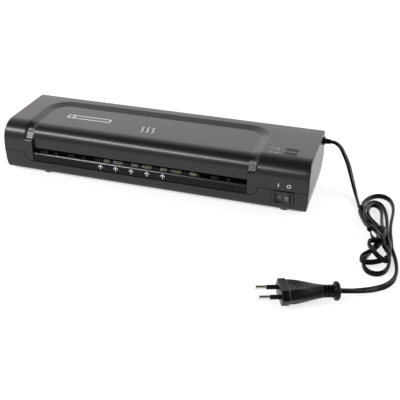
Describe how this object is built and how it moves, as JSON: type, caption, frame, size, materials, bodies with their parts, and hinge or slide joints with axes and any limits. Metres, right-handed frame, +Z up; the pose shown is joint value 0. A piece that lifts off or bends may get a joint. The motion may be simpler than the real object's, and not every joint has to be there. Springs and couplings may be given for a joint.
{
  "type": "pouch laminator",
  "caption": "Low charcoal office laminator with a front feed slot under a sunken top panel, rocker switch, indicator windows and a flat mains lead tied in a bundle.",
  "frame": {"origin": "on the floor under the middle of the housing", "axes": "+X along the length towards the switch and cord end, -Y towards the user and the feed slot, +Z up"},
  "size_m": [0.4279, 0.2479, 0.0544],
  "materials": {
    "casing": "fine-textured charcoal ABS with a satin sheen",
    "rocker_black": "smooth black nylon, polished",
    "strip_black": "polished black ABS",
    "guide_black": "heat-resistant black moulding, matt",
    "foot_rubber": "matt black rubber",
    "cord_pvc": "soft black PVC with a dull sheen",
    "plug_pvc": "black moulded PVC",
    "zinc_steel": "zinc-plated steel",
    "bright_metal": "nickel-plated brass and bright steel",
    "aluminium": "extruded aluminium, mill finish",
    "mica": "mica sheet heater",
    "silicone": "brick-red silicone rubber, matt",
    "nylon": "natural nylon",
    "circuit_board": "green solder mask",
    "smoked_lens": "dark smoked acrylic",
    "ready_lamp": "green indicator resin",
    "power_lamp": "red indicator resin"
  },
  "bodies": {
    "housing": {"top_cover": "casing", "base_housing": "casing", "switch_body": "casing", "feed_strip": "strip_black", "upper_feed_guide": "guide_black", "lower_feed_guide": "guide_black", "upper_exit_guide": "guide_black", "lower_exit_guide": "guide_black", "thermostat": "guide_black", "cord_tie": "guide_black", "pin_sleeve_1": "guide_black", "pin_sleeve_2": "guide_black", "foot_front_left": "foot_rubber", "foot_front_right": "foot_rubber", "foot_rear_left": "foot_rubber", "foot_rear_right": "foot_rubber", "cord_lead": "cord_pvc", "cord_bundle": "cord_pvc", "cord_tail": "cord_pvc", "cord_relief": "cord_pvc", "plug_body": "plug_pvc", "left_side_plate": "zinc_steel", "right_side_plate": "zinc_steel", "motor_bracket": "zinc_steel", "left_pressure_spring": "zinc_steel", "right_pressure_spring": "zinc_steel", "motor_screw_1": "zinc_steel", "motor_screw_2": "zinc_steel", "case_screw_1": "zinc_steel", "case_screw_2": "zinc_steel", "case_screw_3": "zinc_steel", "case_screw_4": "zinc_steel", "drive_motor": "bright_metal", "thermal_fuse": "bright_metal", "plug_pin_1": "bright_metal", "plug_pin_2": "bright_metal", "upper_heater_plate": "aluminium", "lower_heater_plate": "aluminium", "upper_heating_element": "mica", "lower_heating_element": "mica", "lower_left_bush": "nylon", "lower_right_bush": "nylon", "terminal_block": "nylon", "indicator_board": "circuit_board", "ready_lens": "smoked_lens", "power_lens": "smoked_lens", "ready_lamp": "ready_lamp", "power_lamp": "power_lamp"},
    "rocker": {"switch_rocker": "rocker_black"},
    "lower_roller": {"lower_roller_sleeve": "silicone", "lower_roller_shaft": "zinc_steel", "lower_roller_gear": "nylon"},
    "roller_carriage": {"upper_left_bush": "nylon", "upper_right_bush": "nylon"},
    "upper_roller": {"upper_roller_sleeve": "silicone", "upper_roller_shaft": "zinc_steel", "upper_roller_gear": "nylon"},
    "motor_drive": {"motor_pinion": "nylon", "motor_output_shaft": "zinc_steel"}
  },
  "joints": [
    {"name": "rocker_tilt", "type": "hinge", "parent": "housing", "child": "rocker", "pos_m": [0.1423, -0.0456, 0.017], "axis": [0, 0, 1], "range_deg": [0, 22]},
    {"name": "lower_roller_spin", "type": "hinge", "parent": "housing", "child": "lower_roller", "pos_m": [0, 0.012, 0.0192], "axis": [1, 0, 0], "continuous": true},
    {"name": "carriage_lift", "type": "slide", "parent": "housing", "child": "roller_carriage", "axis": [0, 0, 1], "range_m": [0, 0.0008], "stiffness_N_per_m": 4000, "springref_m": -0.003, "deforming": ["left_pressure_spring", "right_pressure_spring"]},
    {"name": "upper_roller_spin", "type": "hinge", "parent": "roller_carriage", "child": "upper_roller", "pos_m": [0, 0.012, 0.0352], "axis": [1, 0, 0], "continuous": true},
    {"name": "motor_spin", "type": "hinge", "parent": "housing", "child": "motor_drive", "pos_m": [0, -0.0027, 0.0162], "axis": [1, 0, 0], "continuous": true}
  ],
  "couplings": [
    {"joint": "upper_roller_spin", "follows": "lower_roller_spin", "ratio": -1},
    {"joint": "motor_spin", "follows": "lower_roller_spin", "ratio": -1.1429}
  ]
}
